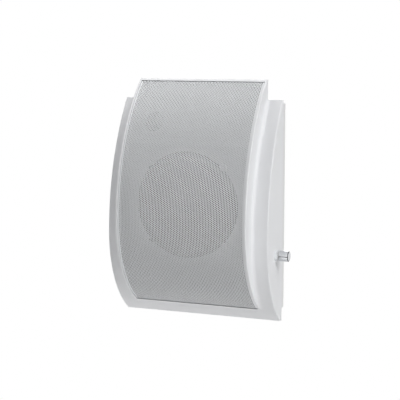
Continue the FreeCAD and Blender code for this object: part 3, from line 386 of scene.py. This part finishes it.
def woven_cloth(name, colour):
    finish = Finish(name, colour, 0.8)
    weave = finish.times(finish.bands(0.8 * MM, "X"), finish.bands(0.8 * MM, "Z"))
    finish.colours(weave, shaded(colour, 0.6), colour)
    finish.relief(weave, 0.1 * MM)
    return finish.material


def wound_copper(name, colour):
    """Enamelled wire laid turn beside turn."""
    finish = Finish(name, colour, 0.3, 0.85)
    turns = finish.bands(0.45 * MM, "Y")
    finish.colours(turns, shaded(colour, 0.45), colour)
    finish.relief(turns, 0.12 * MM)
    return finish.material


def plated_steel(name, colour):
    finish = Finish(name, colour, 0.35, 1.0)
    finish.colours(finish.noise(7 * MM, 4.0), shaded(colour, 0.86), colour)
    finish.roughness(finish.noise(2.5 * MM), 0.26, 0.44)
    finish.relief(finish.noise(0.5 * MM), 0.01 * MM, 0.4)
    return finish.material


def ferrite(name, colour):
    finish = Finish(name, colour, 0.62)
    finish.colours(finish.noise(0.7 * MM, 5.0), shaded(colour, 0.75), shaded(colour, 1.3))
    finish.relief(finish.noise(0.9 * MM, 5.0), 0.05 * MM, 0.7)
    return finish.material


def laminated_steel(name, colour):
    """Thin core sheets stacked face to face."""
    finish = Finish(name, colour, 0.45, 0.8)
    sheets = finish.bands(0.5 * MM, "Z")
    finish.colours(sheets, shaded(colour, 0.5), colour)
    finish.relief(sheets, 0.08 * MM)
    return finish.material


def turned_metal(name, colour, index_and_reflection):
    """The knob: fine rings from turning, a dark index line and a dark painted reflection on the chamfer."""
    low, high = (Vector(corner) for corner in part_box("knob"))
    axis = middle("knob")
    finish = Finish(name, colour, 0.15, 1.0)
    finish.colours(finish.noise(2 * MM), shaded(colour, 0.85), colour)
    finish.roughness(finish.noise(3 * MM), 0.12, 0.24)
    finish.relief(finish.rings(0.5 * MM, "X", axis), 0.006 * MM, 0.5)
    line_low = Vector((low.x - MM, low.y - MM, axis.z - INDEX_WIDTH / 2))
    line_high = Vector((high.x + MM, low.y + INDEX_DEPTH, axis.z + INDEX_WIDTH / 2))
    finish.painted(finish.within(line_low, line_high), index_and_reflection)
    # Painted reflection: the chamfer at the knob's end is darkened with the index line's colour
    end_low = Vector((high.x - CHAMFER, low.y - MM, low.z - MM))
    finish.painted(finish.within(end_low, Vector((high.x - TOUCH, high.y + MM, high.z + MM))), index_and_reflection)
    return finish.material


def cast_metal(name, colour):
    finish = Finish(name, colour, 0.45, 0.9)
    finish.colours(finish.noise(3 * MM, 4.0), shaded(colour, 0.85), colour)
    finish.relief(finish.noise(0.6 * MM, 3.0), 0.03 * MM, 0.6)
    return finish.material


def dark_moulding(name, colour):
    finish = Finish(name, colour, 0.5)
    finish.colours(finish.noise(10 * MM), colour, shaded(colour, 1.25))
    finish.roughness(finish.noise(2 * MM), 0.42, 0.58)
    finish.relief(finish.noise(0.35 * MM, 3.0), 0.02 * MM, 0.6)
    return finish.material


def fibre_board(name, colour):
    finish = Finish(name, colour, 0.5)
    fibres = finish.noise(0.8 * MM, 5.0, finish.stretched((0.25, 1, 1)))
    finish.colours(fibres, shaded(colour, 0.7), shaded(colour, 1.25))
    finish.relief(fibres, 0.03 * MM, 0.6)
    return finish.material


def plain_brass(name, colour):
    finish = Finish(name, colour, 0.3, 1.0)
    finish.colours(finish.noise(2 * MM, 4.0), shaded(colour, 0.8), colour)
    finish.roughness(finish.noise(1.2 * MM), 0.24, 0.4)
    return finish.material


def node_finishes():
    """One finish for each kind of piece, by the names of the nodes that wear it."""
    white = srgb(238, 239, 241)
    steel = srgb(205, 207, 209)
    cone_axis = middle("cone")
    # The knob's dark colour is its index line and a painted reflection on its chamfer
    chrome = turned_metal("knob_chrome", srgb(214, 216, 219), srgb(70, 70, 72))
    fittings = plated_steel("fitting_chrome", srgb(226, 228, 230))
    screws = plated_steel("screw_steel", steel)
    zinc = plated_steel("zinc_steel", srgb(212, 211, 204))
    copper = wound_copper("copper_winding", srgb(190, 112, 62))
    paper = pressed_paper("cone_paper", srgb(48, 48, 50), cone_axis)
    control = cast_metal("control_metal", srgb(198, 198, 198))
    return {
        # The near-black given to the housing is painted shade at the holes behind the grille
        housing_plastic("housing_plastic", white, srgb(30, 30, 31)): ["front_housing"],
        moulded_white("plate_plastic", srgb(234, 235, 235)).material: ["wall_plate"],
        # The second grey of the grille is painted shade in its holes and on its back
        coated_sheet("grille_paint", srgb(241, 243, 245), srgb(100, 101, 103)): ["grille"],
        rubber("gasket_foam", srgb(38, 38, 38), 1.2 * MM): ["driver_gasket"],
        dark_paint("basket_paint", srgb(36, 36, 37)): ["driver_basket"],
        rubber("surround_rubber", srgb(34, 34, 35), 0.5 * MM): ["surround"],
        paper: ["cone", "dust_cap"],
        copper: ["voice_coil", "transformer_coil"],
        woven_cloth("spider_cloth", srgb(204, 172, 110)): ["spider"],
        zinc: ["top_plate", "pole_yoke", "transformer_bracket"],
        ferrite("ferrite_magnet", srgb(62, 62, 64)): ["magnet"],
        fibre_board("strip_board", srgb(122, 82, 50)): ["driver_terminals"],
        screws: ["driver_screws", "transformer_screws", "terminal_mount_screws", "locking_screws",
                 "knob_set_screw"],
        laminated_steel("core_steel", srgb(122, 122, 125)): ["transformer_core"],
        control: ["attenuator_body", "attenuator_shaft"],
        chrome: ["knob"],
        fittings: ["attenuator_washer", "attenuator_nut"],
        dark_moulding("block_plastic", srgb(58, 59, 62)): ["terminal_block"],
        plain_brass("clamp_brass", srgb(214, 182, 112)): ["terminal_clamp_screws"],
        rubber("grommet_rubber", srgb(32, 32, 32), 0.4 * MM): ["cable_grommet"],
    }


def dress_nodes():
    """Gives every node its finish; returns the finishes by node."""
    worn = {}
    for material, names in node_finishes().items():
        for name in names:
            slots = nodes[name].data.materials
            slots.clear()
            slots.append(material)
            worn[name] = material
    return worn


def column_places(bow):
    """Places across the sheet of its columns of holes, with a plain margin on both sides."""
    reach = int((bow.half_width - PLAIN_MARGIN - HOLE_RADIUS) / COLUMN_PITCH)
    return [column * COLUMN_PITCH for column in range(-reach, reach + 1)]


def column_holes(bow, number):
    """Places of a column's holes along the sheet; every second column is half a pitch off."""
    low = bow.foot_reach + PLAIN_MARGIN + HOLE_RADIUS
    high = bow.top_reach - PLAIN_MARGIN - HOLE_RADIUS
    pitches = int((high - low) / HOLE_PITCH)
    first = (low + high - pitches * HOLE_PITCH) / 2
    shift = 0.5 * (number % 2)
    return [first + (place + shift) * HOLE_PITCH for place in range(pitches + 1 - number % 2)]


def hole_outline(across, along, radius):
    """Corners of a hole, clockwise."""
    turns = [-2 * math.pi * side / HOLE_SIDES for side in range(HOLE_SIDES)]
    return [(across + radius * math.cos(turn), along + radius * math.sin(turn)) for turn in turns]


def strip_border(bow, left, right):
    """Points of a strip's outline, anticlockwise, close enough together to follow the bow."""
    steps = round((bow.top_reach - bow.foot_reach) / EDGE_STEP)
    height = (bow.top_reach - bow.foot_reach) / steps
    levels = [bow.foot_reach + step * height for step in range(steps + 1)]
    return [(right, level) for level in levels] + [(left, level) for level in reversed(levels)]


def closed_loop(first, count):
    """Edges of an outline whose points are numbered from the first one on."""
    return [(first + step, first + (step + 1) % count) for step in range(count)]


def flat_strip(bow, columns, left, right):
    """Front and back points, edges of the outlines and triangles of a flattened, perforated strip."""
    places = column_places(bow)
    centres = [(places[column], along) for column in columns for along in column_holes(bow, column)]
    border = strip_border(bow, left, right)
    border_start = HOLE_SIDES * len(centres)
    points = []
    back_points = []
    outlines = []
    for centre in centres:
        outlines += closed_loop(len(points), HOLE_SIDES)
        points += hole_outline(*centre, HOLE_RADIUS)
        back_points += hole_outline(*centre, BACK_RADIUS)
    outlines += closed_loop(border_start, len(border))
    points += border
    back_points += border

    def in_hole(triangle):
        owners = {index // HOLE_SIDES for index in triangle}
        return len(owners) == 1 and max(triangle) < border_start

    flat_points = [Vector(point) for point in points]
    _, _, triangles, *_ = delaunay_2d_cdt(flat_points, outlines, [], 1, MERGE)
    return points, back_points, outlines, [triangle for triangle in triangles if not in_hole(triangle)]


def perforated_strip(name, bow, columns, left, right, finish):
    """A closed strip of the bowed sheet."""
    points, back_points, outlines, triangles = flat_strip(bow, columns, left, right)
    count = len(points)
    vertices = [bow.point(across, along, 0) for across, along in points]
    vertices += [bow.point(across, along, bow.thickness) for across, along in back_points]
    faces = list(triangles)
    faces += [tuple(count + index for index in reversed(triangle)) for triangle in triangles]
    faces += [(second, first, count + first, count + second) for first, second in outlines]
    mesh = bpy.data.meshes.new(name)
    mesh.from_pydata(vertices, [], faces)
    smooth_by_angle(mesh)
    mesh.materials.append(finish)
    strip = add_object(name, mesh)
    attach(strip, "cabinet")
    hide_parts("grille")


def perforated_grille(finish):
    """The bowed sheet with its fine holes, in strips cut between columns of holes."""
    bow = Bow("grille")
    places = column_places(bow)
    starts = [len(places) * strip // GRILLE_STRIPS for strip in range(GRILLE_STRIPS + 1)]
    cuts = [-bow.half_width]
    cuts += [places[start] - COLUMN_PITCH / 2 for start in starts[1:-1]]
    cuts += [bow.half_width]
    for strip in range(GRILLE_STRIPS):
        columns = range(starts[strip], starts[strip + 1])
        perforated_strip(f"grille_strip_{strip}", bow, columns, cuts[strip], cuts[strip + 1], finish)


def sector_mesh(node, axis_place, turn, half_turn):
    """The part of a round node that lies within a turn of its axis, closed where it is cut."""
    part = bmesh.new()
    part.from_mesh(nodes[node].data)
    bmesh.ops.remove_doubles(part, verts=part.verts, dist=WELD)
    for side in (-1, 1):
        limit = turn + side * half_turn
        normal = Vector((-math.sin(limit), 0, math.cos(limit))) * side
        geometry = part.verts[:] + part.edges[:] + part.faces[:]
        bmesh.ops.bisect_plane(part, geom=geometry, plane_co=axis_place, plane_no=normal, clear_outer=True)
        bmesh.ops.holes_fill(part, edges=[edge for edge in part.edges if edge.is_boundary])
    mesh = bpy.data.meshes.new(node)
    part.to_mesh(mesh)
    part.free()
    return mesh


def flexing_ring(node, finish):
    """A suspension ring in sectors, held by the basket outside and by the cone inside."""
    axis_place = middle(node)
    half_turn = math.pi / SUSPENSION_SECTORS
    for number in range(SUSPENSION_SECTORS):
        turn = 2 * half_turn * number
        mesh = sector_mesh(node, axis_place, turn, half_turn)
        smooth_by_angle(mesh)
        mesh.materials.clear()
        mesh.materials.append(finish)
        piece = add_object(f"{node}_sector_{number:02d}", mesh)
        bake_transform(piece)
        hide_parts(node)


def suspension(worn):
    """Surround and spider, each cut into sectors."""
    flexing_ring("surround", worn["surround"])
    flexing_ring("spider", worn["spider"])


def background_ray(tree):
    """1 for rays that show the background: straight, reflected or through glass."""
    path = tree.nodes.new("ShaderNodeLightPath")
    total = path.outputs["Is Camera Ray"]
    for name in ("Is Glossy Ray", "Is Transmission Ray"):
        node = tree.nodes.new("ShaderNodeMath")
        node.operation = "MAXIMUM"
        tree.links.new(total, node.inputs[0])
        tree.links.new(path.outputs[name], node.inputs[1])
        total = node.outputs["Value"]
    return total


def studio_world():
    """A white background to the eye and in reflections, that gives no other light."""
    world = bpy.data.worlds.new("studio")
    world.use_nodes = True
    bpy.context.scene.world = world
    tree = world.node_tree
    unlit = tree.nodes["Background"]
    unlit.inputs["Strength"].default_value = 0.0
    backdrop = tree.nodes.new("ShaderNodeBackground")
    backdrop.inputs["Color"].default_value = (*WHITE, 1)
    backdrop.inputs["Strength"].default_value = 1.0
    mix = tree.nodes.new("ShaderNodeMixShader")
    tree.links.new(background_ray(tree), mix.inputs["Fac"])
    tree.links.new(unlit.outputs["Background"], mix.inputs[1])
    tree.links.new(backdrop.outputs["Background"], mix.inputs[2])
    tree.links.new(mix.outputs["Shader"], tree.nodes["World Output"].inputs["Surface"])


def studio_floor():
    """A wide pale floor, white to the eye like the background."""
    builder = bmesh.new()
    bmesh.ops.create_grid(builder, x_segments=FLOOR_SEGMENTS, y_segments=FLOOR_SEGMENTS,
                          size=FLOOR_HALF)
    mesh = bpy.data.meshes.new("floor")
    builder.to_mesh(mesh)
    builder.free()
    floor = add_object("floor", mesh)
    floor.location.z = cad_box[0][2] - FLOOR_DROP
    material = bpy.data.materials.new("pale_floor")
    material.use_nodes = True
    tree = material.node_tree
    surface = tree.nodes["Principled BSDF"]
    surface.inputs["Base Color"].default_value = (*srgb(FLOOR_GREY, FLOOR_GREY, FLOOR_GREY), 1)
    surface.inputs["Roughness"].default_value = 0.9
    glow = tree.nodes.new("ShaderNodeEmission")
    glow.inputs["Color"].default_value = (*WHITE, 1)
    mix = tree.nodes.new("ShaderNodeMixShader")
    tree.links.new(background_ray(tree), mix.inputs["Fac"])
    tree.links.new(surface.outputs["BSDF"], mix.inputs[1])
    tree.links.new(glow.outputs["Emission"], mix.inputs[2])
    tree.links.new(mix.outputs["Shader"], tree.nodes["Material Output"].inputs["Surface"])
    mesh.materials.append(material)


def aim(item, place, target):
    """Puts a lamp or the camera at a place, facing a target."""
    turn = (target - place).to_track_quat("-Z", "Y").to_matrix().to_4x4()
    item.matrix_world = Matrix.Translation(place) @ turn


def soft_lamp(name, place, size, power):
    """A square lamp that faces the speaker."""
    lamp = bpy.data.lights.new(name, "AREA")
    lamp.shape = "SQUARE"
    lamp.size = size
    lamp.energy = power
    aim(add_object(name, lamp), Vector(place), Vector((0, 0, 0)))


def studio_light():
    """A large soft lamp high on the right, weaker ones on the other sides and a glow from the floor."""
    for lamp in LAMPS:
        soft_lamp(*lamp)
    studio_world()


def photo_camera():
    """The camera that was fitted to the photo."""
    camera = bpy.data.cameras.new("camera")
    camera.sensor_width = SENSOR_WIDTH
    camera.lens = CAMERA_LENS
    item = add_object("camera", camera)
    aim(item, CAMERA_PLACE, CAMERA_TARGET)
    bpy.context.scene.camera = item


finishes = dress_nodes()
perforated_grille(finishes["grille"])
suspension(finishes)
studio_floor()
studio_light()
photo_camera()
bpy.context.scene.view_settings.view_transform = "Standard"
